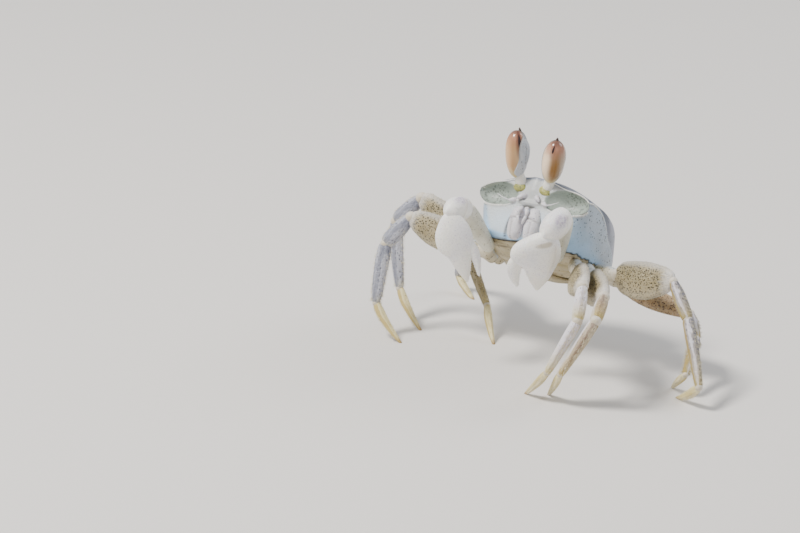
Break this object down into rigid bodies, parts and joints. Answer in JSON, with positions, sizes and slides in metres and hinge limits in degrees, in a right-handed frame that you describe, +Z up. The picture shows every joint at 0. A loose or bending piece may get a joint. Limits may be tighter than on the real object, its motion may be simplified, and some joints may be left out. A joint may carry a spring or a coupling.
{
  "type": "ghost crab",
  "caption": "Ghost crab standing with its front raised, stalked eyes upright, claws of unequal size hanging in front and legs spread.",
  "frame": {"origin": "on the floor under the middle of the crab's whole box, legs and claws included", "axes": "+Z up; the crab faces -Y and its left side is at +X; its longest extent, across the spread legs, is along X"},
  "size_m": [0.1138, 0.0652, 0.0624],
  "materials": {
    "carapace_shell": "satin",
    "under_shell": "satin",
    "mouth_shell": "satin",
    "claw_shell": "satin",
    "limb_root_shell": "satin",
    "leg_upper_shell": "satin",
    "leg_lower_shell": "satin",
    "claw_tip_shell": "satin",
    "eyestalk": "satin",
    "eye": "glossy"
  },
  "bodies": {
    "root": {"abdomen": "under_shell", "carapace": "carapace_shell", "claw_left_carpus": "claw_shell", "claw_left_finger": "claw_shell", "claw_left_merus": "claw_shell", "claw_left_palm": "claw_shell", "claw_right_carpus": "claw_shell", "claw_right_finger": "claw_shell", "claw_right_merus": "claw_shell", "claw_right_palm": "claw_shell", "eye_left": "eye", "eye_right": "eye", "eyestalk_left": "eyestalk", "eyestalk_right": "eyestalk", "leg2_left_base": "limb_root_shell", "leg2_left_carpus": "leg_lower_shell", "leg2_left_dactyl": "claw_tip_shell", "leg2_left_merus": "leg_upper_shell", "leg2_left_propodus": "leg_lower_shell", "leg2_right_base": "limb_root_shell", "leg2_right_carpus": "leg_lower_shell", "leg2_right_dactyl": "claw_tip_shell", "leg2_right_merus": "leg_upper_shell", "leg2_right_propodus": "leg_lower_shell", "leg3_left_base": "limb_root_shell", "leg3_left_carpus": "leg_lower_shell", "leg3_left_dactyl": "claw_tip_shell", "leg3_left_merus": "leg_upper_shell", "leg3_left_propodus": "leg_lower_shell", "leg3_right_base": "limb_root_shell", "leg3_right_carpus": "leg_lower_shell", "leg3_right_dactyl": "claw_tip_shell", "leg3_right_merus": "leg_upper_shell", "leg3_right_propodus": "leg_lower_shell", "leg4_left_base": "limb_root_shell", "leg4_left_carpus": "leg_lower_shell", "leg4_left_dactyl": "claw_tip_shell", "leg4_left_merus": "leg_upper_shell", "leg4_left_propodus": "leg_lower_shell", "leg4_right_base": "limb_root_shell", "leg4_right_carpus": "leg_lower_shell", "leg4_right_dactyl": "claw_tip_shell", "leg4_right_merus": "leg_upper_shell", "leg4_right_propodus": "leg_lower_shell", "leg5_left_base": "limb_root_shell", "leg5_left_carpus": "leg_lower_shell", "leg5_left_dactyl": "claw_tip_shell", "leg5_left_merus": "leg_upper_shell", "leg5_left_propodus": "leg_lower_shell", "leg5_right_base": "limb_root_shell", "leg5_right_carpus": "leg_lower_shell", "leg5_right_dactyl": "claw_tip_shell", "leg5_right_merus": "leg_upper_shell", "leg5_right_propodus": "leg_lower_shell", "maxilliped_left": "mouth_shell", "maxilliped_right": "mouth_shell", "thorax": "under_shell"}
  },
  "joints": []
}
